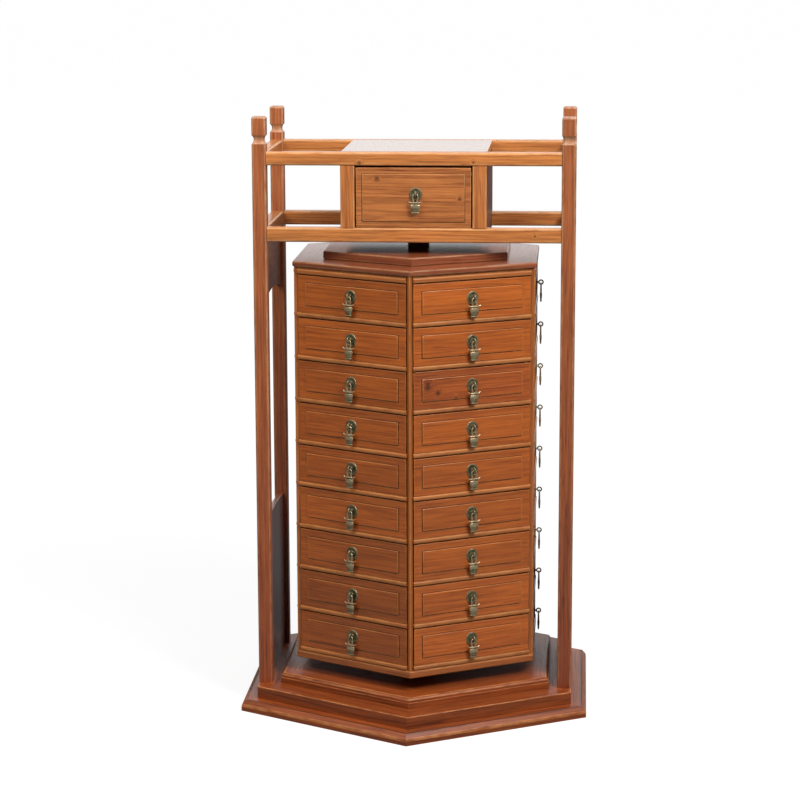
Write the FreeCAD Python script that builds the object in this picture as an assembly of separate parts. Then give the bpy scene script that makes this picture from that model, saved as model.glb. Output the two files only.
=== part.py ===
import FreeCAD, Part
import math
import os

# A revolving hexagonal storage cabinet in an open four-post frame on a stepped plinth.
# Sizes are in millimetres. The origin is on the floor under the pivot, +Z is up,
# and the viewer who stands in front looks along +Y.

# The whole cabinet, floor to post heads
total_height = 1357

# The six-sided case that revolves
case_radius = 315
row_count = 9
shelf_thickness = 10.5
partition_thickness = 10
corner_post_show = 10.3
corner_post_bevel = 4
bottom_board_thickness = 17
top_bead_height = 12
top_neck_height = 4.1
top_neck_setback = 5
shelf_nose_bevel = 2
top_board_thickness = 12.4
top_board_overhang = 1.7
raised_board_thickness = 18.7
raised_board_radius = 240
board_edge_bevel = 3.5

# The turned spindle and its bearings
spindle_diameter = 50
hub_radius = 90
hub_thickness = 14
case_lift = 33
bearing_wall = 14
bearing_height = 15
running_gap = 0.3

# The drawers in the case
drawer_side_gap = 1
drawer_top_gap = 2.2
drawer_rest_gap = 0.3
drawer_setback = 2.8
front_thickness = 15
drawer_wall = 8
drawer_side_step = 14.5
drawer_inner_radius = 95
drawer_bottom_thickness = 5
drawer_bottom_lift = 3
field_side_margin = 21.5
field_height_margin = 17
field_rise = 1.8
field_bevel = 1.2

# The frame round the case
turning_gap = 23
panel_thickness = 12
panel_setback = 10
frame_depth = 360
post_side = 32
case_headroom = 26.3
lower_rail_height = 33
frieze_height = 138
upper_rail_height = 30
rail_depth = 30
rail_edge_bevel = 3
post_shoulder_rise = 17
neck_height = 19.5
neck_side = 23
head_height = 41.5
head_bevel = 4
apron_depth = 144
apron_arch_rise = 16
lower_panel_height = 375.2
lower_panel_arch_rise = 9

# The frieze box above the case, with its own drawer
frieze_box_width = 326
frieze_upright_width = 32
frieze_board_thickness = 12
frieze_top_thickness = 15
frieze_back_thickness = 10
pivot_beam_width = 30
pivot_block_side = 64
pivot_block_height = 20
guide_height = 20
frieze_drawer_side_gap = 3
frieze_drawer_top_gap = 4
frieze_drawer_rest_gap = 0.3
frieze_drawer_depth = 285
frieze_drawer_side_step = 23.7
frieze_field_margin = 14

# The stepped plinth
top_step_gap = 19
top_step_height = 24.2
top_step_round = 8
top_step_quirk = 1.5
top_step_fascia_height = 13.8
middle_step_height = 27.8
middle_step_width = 70
middle_step_bevel = 1.5
bearer_width = 90
base_step_height = 25
base_step_projection = 35
base_step_width = 75
base_edge_height = 13.4
base_edge_bevel = 1.5

# The drop pulls
plate_radius = 13.6
plate_thickness = 1.2
eye_outer_radius = 5.5
eye_inner_radius = 3.3
eye_width = 2.4
eye_faces = 6
eye_stand_off = 9.7
drop_length = 44.1
drop_half_width = 15.2
drop_thickness = 4
drop_bar_thickness = 2.5
drop_hole_half_width = 4
drop_hole_length = 11
eye_above_middle = 5.7
frieze_eye_above_middle = 9

# Spare length for cutting and meeting solids
overrun = 50

# Outlines of the pulls: the rosette's reach point by point, as shares of its radius, then
# the drop's right-hand edge from the top, as shares of its half width and its length.
rosette_shares = (1, 0.82)
plain_rosette_shares = (1,)
drop_edge_shares = (
    (0.36, 0),
    (0.5, 0.16),
    (0.48, 0.31),
    (1, 0.3),
    (0.62, 0.44),
    (0.2, 0.5),
    (0.64, 0.61),
    (0.45, 0.9),
    (0.5, 0.95),
    (0.14, 1),
)
plain_drop_edge_shares = (
    (0.48, 0),
    (1, 0.3),
    (0.2, 0.5),
    (0.64, 0.62),
    (0.45, 1),
)

# Derived places
side_turn = 60
half_turn = 30
slope = math.tan(math.radians(half_turn))
steep = math.cos(math.radians(half_turn))
case_apothem = case_radius * steep
spindle_radius = spindle_diameter / 2
frame_half_width = case_radius + turning_gap + panel_thickness + panel_setback
frame_half_depth = frame_depth / 2
base_apothem = frame_half_width + base_step_projection
middle_top = base_step_height + middle_step_height
plinth_top = middle_top + top_step_height
top_step_apothem = frame_half_width - post_side - top_step_gap
case_bottom = plinth_top + case_lift
case_floor = case_bottom + bottom_board_thickness
head_bottom = total_height - head_height
post_shoulder = head_bottom - neck_height
upper_rail_top = post_shoulder - post_shoulder_rise
upper_rail_bottom = upper_rail_top - upper_rail_height
lower_rail_top = upper_rail_bottom - frieze_height
lower_rail_bottom = lower_rail_top - lower_rail_height
case_top = lower_rail_bottom - case_headroom
raised_board_bottom = case_top - raised_board_thickness
top_board_bottom = raised_board_bottom - top_board_thickness
neck_bottom = top_board_bottom - top_neck_height
case_ceiling = neck_bottom - top_bead_height
row_pitch = (case_ceiling - case_floor) / row_count
first_opening = case_floor + shelf_thickness
drawer_opening_height = row_pitch - shelf_thickness
box_half_width = frieze_box_width / 2
upright_inner = box_half_width - frieze_upright_width
box_inner_depth = frame_half_depth - rail_depth
frieze_floor = lower_rail_top
block_low = frieze_floor - frieze_board_thickness - pivot_block_height
corner_post_depth = 2 * (corner_post_show * steep - partition_thickness / 2)
drawer_face = case_apothem - drawer_setback
drawer_height = drawer_opening_height - drawer_rest_gap - drawer_top_gap
drawer_side_height = drawer_height - drawer_side_step
bar_top = eye_inner_radius - running_gap - drop_bar_thickness
left_face_angle = 240
right_face_angle = 300
side_face_angles = (180, 0)
back_face_angles = (120, 60)
front_face_angle = 270
eye_rise = drawer_opening_height / 2 + eye_above_middle
frieze_eye_height = frieze_floor + frieze_height / 2 + frieze_eye_above_middle

os.makedirs("parts", exist_ok=True)


def save(name, solids):
    shape = solids[0] if len(solids) == 1 else Part.makeCompound(solids)
    shape.exportStep("parts/" + name + ".step")


def point(x, y, z=0):
    return FreeCAD.Vector(x, y, z)


def turned(shape, angle):
    copy = shape.copy()
    copy.rotate(point(0, 0), point(0, 0, 1), angle)
    return copy


def moved(shape, x=0, y=0, z=0):
    copy = shape.copy()
    copy.translate(point(x, y, z))
    return copy


# A closed face from corner points. A step that holds two points is an arc through the first.
def outline_face(steps):
    edges = []
    here = steps[0]
    for step in steps[1:] + [steps[0]]:
        if isinstance(step, tuple):
            middle, end = step
            edges.append(Part.Arc(here, middle, end).toShape())
            here = end
        elif step != here:
            edges.append(Part.makeLine(here, step))
            here = step
    return Part.Face(Part.Wire(edges))


def hexagon(radius):
    turns = [math.radians(half_turn + side_turn * corner) for corner in range(6)]
    return [(radius * math.cos(turn), radius * math.sin(turn)) for turn in turns]


# A piece with an outline seen from above
def slab(plan, bottom, height):
    face = outline_face([point(x, y, bottom) for x, y in plan])
    return face.extrude(point(0, 0, height))


def board(x0, x1, y0, y1, z0, z1):
    return Part.makeBox(x1 - x0, y1 - y0, z1 - z0, point(x0, y0, z0))


def edges_along(shape, direction):
    found = []
    for edge in shape.Edges:
        run = edge.Vertexes[-1].Point - edge.Vertexes[0].Point
        if run.Length and abs(run.normalize().dot(direction)) > steep:
            found.append(edge)
    return found


def bevelled_bar(x0, x1, y0, y1, z0, z1, direction, bevel):
    bar = board(x0, x1, y0, y1, z0, z1)
    return bar.makeChamfer(bevel, edges_along(bar, direction))


# One of six mitred lengths: a profile in reach and height, run along a side of the hexagon
def mitred_length(profile, reach):
    half = reach * slope
    run = outline_face(profile).extrude(point(0, 2 * half + overrun))
    run.translate(point(0, -half - overrun / 2))
    height = run.BoundBox
    wedge = slab(((0, 0), (reach, -half), (reach, half)), height.ZMin, height.ZLength)
    return run.common(wedge).Solids[0]


def six(shape):
    return [turned(shape, side_turn * side) for side in range(6)]


# A board's section with both outer corners bevelled, from an inner reach to an outer reach
def bevelled_profile(inner, outer, bottom, top, bevel):
    return [
        point(inner, 0, bottom),
        point(outer - bevel, 0, bottom),
        point(outer, 0, bottom + bevel),
        point(outer, 0, top - bevel),
        point(outer - bevel, 0, top),
        point(inner, 0, top),
    ]


# The plinth, three stepped tiers of mitred boards
def base_step():
    inner = base_apothem - base_step_width
    profile = [
        point(inner, 0, 0),
        point(base_apothem, 0, 0),
        point(base_apothem, 0, base_edge_height - base_edge_bevel),
        point(base_apothem - base_edge_bevel, 0, base_edge_height),
        point(frame_half_width, 0, base_step_height),
        point(inner, 0, base_step_height),
    ]
    return six(mitred_length(profile, base_apothem))


def middle_step():
    inner = frame_half_width - middle_step_width
    profile = [
        point(inner, 0, base_step_height),
        point(frame_half_width, 0, base_step_height),
        point(frame_half_width, 0, middle_top - middle_step_bevel),
        point(frame_half_width - middle_step_bevel, 0, middle_top),
        point(inner, 0, middle_top),
    ]
    sides = six(mitred_length(profile, frame_half_width))
    half = bearer_width / 2
    bearer = board(-inner, inner, -half, half, base_step_height, middle_top)
    return sides + [bearer]


# The top board's edge has a square fascia, a quirk and a quarter round
def top_step():
    fascia_top = middle_top + top_step_fascia_height
    reach = top_step_apothem - top_step_quirk
    spare = top_step_round * (1 - math.sin(math.radians(45)))
    profile = [
        point(0, 0, middle_top),
        point(top_step_apothem, 0, middle_top),
        point(top_step_apothem, 0, fascia_top),
        point(reach, 0, fascia_top),
        point(reach, 0, plinth_top - top_step_round),
        (
            point(reach - spare, 0, plinth_top - spare),
            point(reach - top_step_round, 0, plinth_top),
        ),
        point(0, 0, plinth_top),
    ]
    wedge = mitred_length(profile, top_step_apothem)
    whole = wedge.fuse([turned(wedge, side_turn * side) for side in range(1, 6)])
    return [whole.removeSplitter().Solids[0]]


# A corner post with a carved neck and a square head
def frame_post(x, y):
    half = post_side / 2
    neck = neck_side / 2
    neck_middle = post_shoulder + neck_height / 2
    silhouette = [
        point(-half, -half, middle_top),
        point(half, -half, middle_top),
        point(half, -half, post_shoulder),
        (point(neck, -half, neck_middle), point(half, -half, head_bottom)),
        point(half, -half, total_height - head_bevel),
        point(half - head_bevel, -half, total_height),
        point(head_bevel - half, -half, total_height),
        point(-half, -half, total_height - head_bevel),
        point(-half, -half, head_bottom),
        (point(-neck, -half, neck_middle), point(-half, -half, post_shoulder)),
    ]
    carved = outline_face(silhouette).extrude(point(0, post_side))
    post = carved.common(turned(carved, 90)).removeSplitter().Solids[0]
    return moved(post, x, y)


def frame_rails(bottom, top):
    x_inner = frame_half_width - post_side
    y_inner = frame_half_depth - post_side
    x_back = frame_half_width - rail_depth
    y_back = frame_half_depth - rail_depth
    rails = []
    for low, high in ((-frame_half_depth, -y_back), (y_back, frame_half_depth)):
        rails.append(bevelled_bar(-x_inner, x_inner, low, high, bottom, top, point(1, 0), rail_edge_bevel))
    for low, high in ((-frame_half_width, -x_back), (x_back, frame_half_width)):
        rails.append(bevelled_bar(low, high, -y_inner, y_inner, bottom, top, point(0, 1), rail_edge_bevel))
    return rails


# The aprons and low panels that fill the two ends of the frame above and below their windows
def end_panels():
    outer = frame_half_width - panel_setback
    inner = outer - panel_thickness
    edge = frame_half_depth - post_side
    apron_low = lower_rail_bottom - apron_depth
    panel_high = middle_top + lower_panel_height
    panels = []
    for x in (-outer, inner):
        apron = outline_face([
            point(x, -edge, lower_rail_bottom),
            point(x, edge, lower_rail_bottom),
            point(x, edge, apron_low),
            (point(x, 0, apron_low + apron_arch_rise), point(x, -edge, apron_low)),
        ])
        low_panel = outline_face([
            point(x, -edge, middle_top),
            point(x, edge, middle_top),
            point(x, edge, panel_high),
            (point(x, 0, panel_high + lower_panel_arch_rise), point(x, -edge, panel_high)),
        ])
        panels.append(apron.extrude(point(panel_thickness, 0)))
        panels.append(low_panel.extrude(point(panel_thickness, 0)))
    return panels


def frieze_uprights():
    uprights = []
    for x0 in (-box_half_width, upright_inner):
        for y0 in (-frame_half_depth, box_inner_depth):
            x1 = x0 + frieze_upright_width
            y1 = y0 + rail_depth
            uprights.append(board(x0, x1, y0, y1, lower_rail_top, upper_rail_bottom))
    return uprights


# The boards of the frieze box, its bearers, the drawer's guides and the beams beside the pivot
def frieze_boards():
    depth = box_inner_depth
    top_low = upper_rail_top - frieze_top_thickness
    floor_low = frieze_floor - frieze_board_thickness
    back = frame_half_depth - rail_depth / 2
    pieces = [board(-box_half_width, box_half_width, -depth, depth, top_low, upper_rail_top)]
    for side in (-1, 1):
        outer = side * box_half_width
        skin = outer - side * frieze_board_thickness
        lane = side * upright_inner
        x0, x1 = sorted((outer, skin))
        pieces.append(board(x0, x1, -depth, depth, frieze_floor, top_low))
        x0, x1 = sorted((outer, lane))
        pieces.append(board(x0, x1, -depth, depth, lower_rail_bottom, frieze_floor))
        x0, x1 = sorted((skin, lane))
        pieces.append(board(x0, x1, -depth, depth, frieze_floor, frieze_floor + guide_height))
        y0, y1 = sorted((side * pivot_block_side / 2, side * (pivot_block_side / 2 + pivot_beam_width)))
        pieces.append(board(-upright_inner, upright_inner, y0, y1, block_low, floor_low))
    pieces.append(board(-upright_inner, upright_inner, -depth, depth, floor_low, frieze_floor))
    pieces.append(
        board(
            -upright_inner,
            upright_inner,
            back,
            back + frieze_back_thickness,
            lower_rail_top,
            upper_rail_bottom,
        )
    )
    return pieces


# A step bearing on the plinth, and a bored block between the beams at the top of the spindle
def pivot_bearings():
    bore = spindle_radius + running_gap
    half = pivot_block_side / 2
    collar = slab(hexagon((bore + bearing_wall) / steep), plinth_top, bearing_height)
    block = board(-half, half, -half, half, block_low, block_low + pivot_block_height)
    pieces = []
    for body, low, height in (
        (collar, plinth_top, bearing_height),
        (block, block_low, pivot_block_height),
    ):
        hole = Part.makeCylinder(bore, height, point(0, 0, low))
        pieces.append(body.cut(hole).Solids[0])
    return pieces


def pivot_spindle():
    low = plinth_top + running_gap
    high = block_low + pivot_block_height - running_gap
    shaft = Part.makeCylinder(spindle_radius, high - low, point(0, 0, low))
    hub = slab(hexagon(hub_radius), case_bottom - hub_thickness, hub_thickness)
    return [shaft.fuse(hub).removeSplitter().Solids[0]]


def case_top_boards():
    outer = (case_radius + top_board_overhang) * steep
    raised = raised_board_radius * steep
    lower = bevelled_profile(
        spindle_radius, outer, top_board_bottom, raised_board_bottom, board_edge_bevel
    )
    upper = bevelled_profile(
        spindle_radius, raised, raised_board_bottom, case_top, board_edge_bevel
    )
    return six(mitred_length(lower, outer)) + six(mitred_length(upper, raised))


def case_bottom_board():
    profile = bevelled_profile(
        spindle_radius, case_apothem, case_bottom, case_floor, board_edge_bevel
    )
    return six(mitred_length(profile, case_apothem))


# Half the width of a bay between two partitions, at a distance from the pivot
def bay_half(reach):
    return reach * slope - partition_thickness / 2 / steep


# A corner post in plan, with its nose at the corner of the hexagon
def case_corner_posts():
    def along(distance, inward):
        x = case_radius - distance / 2 - inward * steep
        y = distance * steep - inward / 2
        return x, y

    plan = []
    for distance, inward in (
        (corner_post_show, corner_post_depth),
        (corner_post_show, 0),
        (corner_post_bevel, 0),
    ):
        plan.append(along(distance, inward))
    plan += [(x, -y) for x, y in reversed(plan)]
    post = slab(plan, case_floor, top_board_bottom - case_floor)
    return six(turned(post, half_turn))


def case_partitions():
    inward = corner_post_show / 2 + corner_post_depth * steep
    half = partition_thickness / 2
    partition = board(
        spindle_radius, case_radius - inward, -half, half, case_floor, top_board_bottom
    )
    return six(turned(partition, half_turn))


# A shelf between two partitions, with a bevelled nose that shows between the drawers
def case_shelf(bottom, height, setback=0, bevel=shelf_nose_bevel):
    post_back = case_apothem - corner_post_depth
    half = bay_half(post_back)
    reach = case_apothem - setback
    inner_half = bay_half(spindle_radius)
    plan = (
        (spindle_radius, -inner_half),
        (post_back, -half),
        (reach + overrun, -half),
        (reach + overrun, half),
        (post_back, half),
        (spindle_radius, inner_half),
    )
    profile = bevelled_profile(0, reach, bottom, bottom + height, bevel)
    run = outline_face(profile).extrude(point(0, 2 * half))
    return moved(run, 0, -half).common(slab(plan, bottom, height)).Solids[0]


def case_shelves():
    shelves = []
    for level in range(row_count):
        shelves += six(case_shelf(case_floor + level * row_pitch, shelf_thickness))
    shelves += six(case_shelf(case_ceiling, top_bead_height))
    shelves += six(case_shelf(neck_bottom, top_neck_height, top_neck_setback, 0))
    return shelves


# A drawer front facing +X, and the raised field on it, whose edges slope in
def raised_front(plan, face, half_width, bottom, height, side_margin, height_margin):
    half = half_width - side_margin
    low = bottom + height_margin
    high = bottom + height - height_margin
    tip = face + field_rise
    corners = []
    for x, inset in ((face, 0), (tip, field_bevel)):
        corners.append(
            Part.makePolygon([
                point(x, -half + inset, low + inset),
                point(x, half - inset, low + inset),
                point(x, half - inset, high - inset),
                point(x, -half + inset, high - inset),
                point(x, -half + inset, low + inset),
            ])
        )
    return [slab(plan, bottom, height), Part.makeLoft(corners, True, True)]


# A wedge-shaped drawer of five boards, facing +X, for the row whose opening starts at a height
def case_drawer(opening):
    gap = drawer_side_gap / steep
    thick = drawer_wall / steep
    bottom = opening + drawer_rest_gap
    front_half = bay_half(case_apothem - corner_post_depth) - drawer_side_gap
    front_back = drawer_face - front_thickness
    back_front = drawer_inner_radius + drawer_wall

    def outside(reach):
        return bay_half(reach) - gap

    def inside(reach):
        return outside(reach) - thick

    front_plan = (
        (front_back, -outside(front_back)),
        (drawer_face, -front_half),
        (drawer_face, front_half),
        (front_back, outside(front_back)),
    )
    pieces = raised_front(
        front_plan,
        drawer_face,
        front_half,
        bottom,
        drawer_height,
        field_side_margin,
        field_height_margin,
    )
    for side in (-1, 1):
        plan = (
            (drawer_inner_radius, side * inside(drawer_inner_radius)),
            (front_back, side * inside(front_back)),
            (front_back, side * outside(front_back)),
            (drawer_inner_radius, side * outside(drawer_inner_radius)),
        )
        pieces.append(slab(plan, bottom, drawer_side_height))
    back_plan = (
        (drawer_inner_radius, -inside(drawer_inner_radius)),
        (back_front, -inside(back_front)),
        (back_front, inside(back_front)),
        (drawer_inner_radius, inside(drawer_inner_radius)),
    )
    pieces.append(slab(back_plan, bottom, drawer_side_height))
    floor_plan = (
        (back_front, -inside(back_front)),
        (front_back, -inside(front_back)),
        (front_back, inside(front_back)),
        (back_front, inside(back_front)),
    )
    pieces.append(slab(floor_plan, bottom + drawer_bottom_lift, drawer_bottom_thickness))
    return pieces


# The frieze drawer, facing +X like the others until it is turned to the front
def frieze_drawer():
    half = upright_inner - frieze_drawer_side_gap
    face = frame_half_depth - field_rise
    front_back = face - front_thickness
    bottom = frieze_floor + frieze_drawer_rest_gap
    height = frieze_height - frieze_drawer_rest_gap - frieze_drawer_top_gap
    back = front_back - frieze_drawer_depth
    inner = half - drawer_wall
    plan = ((front_back, -half), (face, -half), (face, half), (front_back, half))
    pieces = raised_front(
        plan, face, half, bottom, height, frieze_field_margin, frieze_field_margin
    )
    side_top = bottom + height - frieze_drawer_side_step
    floor_low = bottom + drawer_bottom_lift
    floor_high = floor_low + drawer_bottom_thickness
    pieces.append(board(back, front_back, -half, -inner, bottom, side_top))
    pieces.append(board(back, front_back, inner, half, bottom, side_top))
    pieces.append(board(back, back + drawer_wall, -inner, inner, bottom, side_top))
    pieces.append(board(back + drawer_wall, front_back, -inner, inner, floor_low, floor_high))
    return pieces


def ring_of_points(count, radius, shares=(1,)):
    places = []
    for step in range(count):
        angle = math.radians((step + 0.5) * 360 / count)
        reach = radius * shares[step % len(shares)]
        places.append((reach * math.cos(angle), reach * math.sin(angle)))
    return places


# A pull, facing +X: the rosette plate, and the eye that stands out from it on a short stem.
# X = 0 is the face of the drawer and Z = 0 the centre of the eye.
def rosette(shares):
    count = 4 * len(shares)
    rim = [point(0, y, z) for y, z in ring_of_points(count, plate_radius, shares)]
    plate = outline_face(rim).extrude(point(plate_thickness, 0))
    plate.rotate(point(0, 0), point(1, 0), -180 / count)
    return plate


def plate_with_eye():
    half = eye_width / 2
    rims = []
    for radius in (eye_outer_radius, eye_inner_radius):
        reach = radius / math.cos(math.radians(180 / eye_faces))
        rim = [point(eye_stand_off + x, -half, z) for x, z in ring_of_points(eye_faces, reach)]
        rims.append(outline_face(rim).extrude(point(0, eye_width)))
    stem = board(0, eye_stand_off, -half, half, -half, half)
    whole = rosette(rosette_shares).fuse([rims[0], stem]).cut(rims[1])
    return whole.removeSplitter().Solids[0]


# The hanging drop: an arched loop, a winged crosspiece, a neck and a bell-shaped body
def drop_body(edge_shares):
    x = eye_stand_off - drop_thickness / 2
    right = [
        point(x, share_y * drop_half_width, -bar_top - share_z * drop_length)
        for share_y, share_z in edge_shares
    ]
    left = [point(x, -place.y, place.z) for place in reversed(right)]
    return outline_face(right + left).extrude(point(drop_thickness, 0))


# The loop's top bar turns inside the eye, on a round face about the eye's centre
def hanging_drop():
    x = eye_stand_off - drop_thickness / 2
    half = drop_hole_half_width
    bar_radius = bar_top + drop_bar_thickness
    hole = board(x, x + drop_thickness, -half, half, -bar_radius - drop_hole_length, -bar_top)
    centre = point(eye_stand_off, -half, 0)
    bar = Part.makeCylinder(bar_radius, 2 * half, centre, point(0, 1))
    return drop_body(drop_edge_shares).cut(hole.cut(bar)).removeSplitter().Solids[0]


# The pulls on the faces that don't open are one piece, with a plain stem behind the drop
def fixed_pull():
    half = eye_width / 2
    x = eye_stand_off - drop_thickness / 2
    stem = board(0, x, -half, half, -eye_inner_radius - half, -eye_inner_radius + half)
    pieces = [stem, drop_body(plain_drop_edge_shares)]
    return rosette(plain_rosette_shares).fuse(pieces).removeSplitter().Solids[0]


jointed_plate = plate_with_eye()
jointed_drop = hanging_drop()

# The frame and plinth, which stand still
save("plinth_base_board", base_step())
save("plinth_middle_board", middle_step())
save("plinth_top_board", top_step())
post_x = frame_half_width - post_side / 2
post_y = frame_half_depth - post_side / 2
save("front_left_post", [frame_post(-post_x, -post_y)])
save("front_right_post", [frame_post(post_x, -post_y)])
save("back_left_post", [frame_post(-post_x, post_y)])
save("back_right_post", [frame_post(post_x, post_y)])
save("upper_rails", frame_rails(upper_rail_bottom, upper_rail_top))
save("lower_rails", frame_rails(lower_rail_bottom, lower_rail_top))
save("end_panels", end_panels())
save("frieze_uprights", frieze_uprights())
save("frieze_boards", frieze_boards())
save("pivot_bearings", pivot_bearings())

# The case, which revolves
save("pivot_spindle", pivot_spindle())
save("case_bottom_board", case_bottom_board())
save("case_top_boards", case_top_boards())
save("case_corner_posts", case_corner_posts())
save("case_partitions", case_partitions())
save("case_shelves", case_shelves())

# The drawers, each with the plate and eye of its pull, and the drops that hang from them
openings = [first_opening + (row_count - 1 - row) * row_pitch for row in range(row_count)]
for side_name, face_angle in (("left", left_face_angle), ("right", right_face_angle)):
    for row, opening in enumerate(openings, start=1):
        plate = moved(jointed_plate, drawer_face + field_rise, 0, opening + eye_rise)
        drawer = [turned(piece, face_angle) for piece in case_drawer(opening) + [plate]]
        save(f"{side_name}_drawer_{row}", drawer)
        drop = moved(jointed_drop, drawer_face + field_rise, 0, opening + eye_rise)
        save(f"{side_name}_drop_{row}", [turned(drop, face_angle)])

plain_pull = fixed_pull()
fixed_pulls = []
for group, face_angles in (("side", side_face_angles), ("back", back_face_angles)):
    drawers = []
    for face_angle in face_angles:
        for opening in openings:
            drawers += [turned(piece, face_angle) for piece in case_drawer(opening)]
            pull = moved(plain_pull, drawer_face + field_rise, 0, opening + eye_rise)
            fixed_pulls.append(turned(pull, face_angle))
    save(f"{group}_drawers", drawers)
save("side_and_back_pulls", fixed_pulls)

plate = moved(jointed_plate, frame_half_depth, 0, frieze_eye_height)
drawer = [turned(piece, front_face_angle) for piece in frieze_drawer() + [plate]]
save("frieze_drawer", drawer)
drop = moved(jointed_drop, frame_half_depth, 0, frieze_eye_height)
save("frieze_drop", [turned(drop, front_face_angle)])

print("case radius", case_radius, "case top", case_top, "total height", total_height)
print("frame width", 2 * frame_half_width, "plinth width", 2 * base_apothem)
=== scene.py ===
import functools
import itertools
import math
import random

import bpy
import numpy as np
from mathutils import Matrix, Vector


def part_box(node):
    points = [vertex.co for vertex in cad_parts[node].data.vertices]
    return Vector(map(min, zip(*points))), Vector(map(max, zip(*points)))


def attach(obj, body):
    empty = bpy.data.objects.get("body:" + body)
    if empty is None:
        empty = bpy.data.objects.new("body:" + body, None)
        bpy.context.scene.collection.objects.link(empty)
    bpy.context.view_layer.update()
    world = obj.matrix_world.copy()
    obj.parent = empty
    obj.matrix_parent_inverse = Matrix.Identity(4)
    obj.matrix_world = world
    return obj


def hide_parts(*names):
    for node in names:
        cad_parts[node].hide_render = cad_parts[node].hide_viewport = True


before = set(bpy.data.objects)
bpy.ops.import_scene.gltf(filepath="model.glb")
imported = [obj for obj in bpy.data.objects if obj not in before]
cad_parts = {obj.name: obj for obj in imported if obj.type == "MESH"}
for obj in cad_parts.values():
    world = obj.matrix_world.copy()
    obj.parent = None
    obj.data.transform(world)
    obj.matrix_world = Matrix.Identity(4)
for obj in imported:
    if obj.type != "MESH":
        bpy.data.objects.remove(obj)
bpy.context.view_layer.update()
print("frame: the packed cabinet is loaded")

mm = 0.001
slope = math.tan(math.radians(30))  # half a hexagon's side for each unit of its reach
steep = math.cos(math.radians(30))
square = 0.9  # a face is square to an axis when its normal has more than this along it
draw = random.Random(23)
boardNumbers = itertools.count(1)
scene = bpy.context.scene


def sizes(**inMillimetres):
    return {name: size * mm for name, size in inMillimetres.items()}


# hand tools

def leaveEditing():
    if bpy.context.object is not None and bpy.context.object.mode != "OBJECT":
        bpy.ops.object.mode_set(mode="OBJECT")
    bpy.ops.object.select_all(action="DESELECT")


def pick(*pieces):
    leaveEditing()
    for piece in pieces:
        piece.select_set(True)
    bpy.context.view_layer.objects.active = pieces[0]


def settle(piece):  # the object goes to the origin, and its place into the mesh
    pick(piece)
    bpy.ops.object.transform_apply(location=True, rotation=True, scale=True)
    return piece


def joined(pieces):
    pick(*pieces)
    if len(pieces) > 1:
        bpy.ops.object.join()
    return bpy.context.object


def near(value, target, within=0.05 * mm):
    return abs(value - target) < within


def between(value, span):
    return span[0] < value < span[1]


def everywhere(*ignored):
    return True


def edgesAt(x=None, z=None):  # a test for edges with both ends at this x, this z or both
    def there(p):
        return (x is None or near(p.x, x)) and (z is None or near(p.z, z))
    return lambda a, b: there(a) and there(b)


def levelEdges(x):  # a test for level edges at this x
    return lambda a, b: near(a.x, x) and near(b.x, x) and near(a.z, b.z)


def longEdges(axis, least=50 * mm):
    return lambda a, b: abs(a[axis] - b[axis]) > least


def choose(piece, kind, test):  # leaves the piece in edit mode with the tested parts selected
    pick(piece)
    bpy.ops.object.mode_set(mode="EDIT")
    bpy.ops.mesh.select_mode(type=kind)
    bpy.ops.mesh.select_all(action="DESELECT")
    bpy.ops.object.mode_set(mode="OBJECT")
    mesh = piece.data
    if kind == "VERT":
        for vertex in mesh.vertices:
            vertex.select = test(vertex.co)
    elif kind == "EDGE":
        for edge in mesh.edges:
            edge.select = test(*(mesh.vertices[i].co for i in edge.vertices))
    else:
        for face in mesh.polygons:
            face.select = test(face.center, face.normal)
    bpy.ops.object.mode_set(mode="EDIT")


def cut(piece, at, normal, away=False):
    choose(piece, "FACE", everywhere)
    bpy.ops.mesh.bisect(plane_co=at, plane_no=normal, use_fill=away, clear_outer=away)
    leaveEditing()


def roundEdges(piece, width, test=everywhere, segments=3):
    choose(piece, "EDGE", test)
    bpy.ops.mesh.bevel(offset=width, segments=segments, affect="EDGES")
    leaveEditing()


def stretch(piece, test, value, centre=(0, 0, 0)):
    choose(piece, "VERT", test)
    bpy.ops.transform.resize(value=value, center_override=centre)
    leaveEditing()


def shift(piece, test, by):
    choose(piece, "VERT", test)
    bpy.ops.transform.translate(value=by)
    leaveEditing()


def added(primitive, **settings):  # a new primitive, with its place in its mesh
    leaveEditing()
    primitive(**settings)
    return settle(bpy.context.object)


def boardBox(low, high):
    low, high = Vector(low), Vector(high)
    return added(bpy.ops.mesh.primitive_cube_add, size=1, location=(low + high) / 2, scale=high - low)


def mitredBoard(inner, outer, low, high):  # one length of a hexagonal ring, facing +X
    half = outer * slope
    piece = boardBox((inner, -half, low), (outer, half, high))
    stretch(piece, lambda p: p.x < (inner + outer) / 2, (1, inner / outer, 1))
    return piece


def smooth(piece, angle=40):
    pick(piece)
    bpy.ops.object.shade_smooth_by_angle(angle=math.radians(angle))
    weigh = piece.modifiers.new("weigh", "WEIGHTED_NORMAL")
    weigh.keep_sharp = True
    bpy.ops.object.modifier_apply(modifier="weigh")


# the grain of each board

treeLook = dict(
    heart=(55 * mm, 140 * mm),  # how far a board lay from the middle of its tree
    along=4,  # the length of tree, in metres either way, that boards come from
    worn=4 * mm,  # faces narrower than this are taken for arrises
)


def read(mesh, name, width):
    values = np.empty(len(mesh.attributes[name].data) * width, np.float32)
    mesh.attributes[name].data.foreach_get("vector" if width == 3 else "value", values)
    return values.reshape(-1, width) if width == 3 else values


def write(mesh, name, values, width, domain="POINT"):
    kind = "FLOAT_VECTOR" if width == 3 else "FLOAT"
    layer = mesh.attributes.get(name) or mesh.attributes.new(name, kind, domain)
    layer.data.foreach_set("vector" if width == 3 else "value", np.ravel(values).astype(np.float32))


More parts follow.
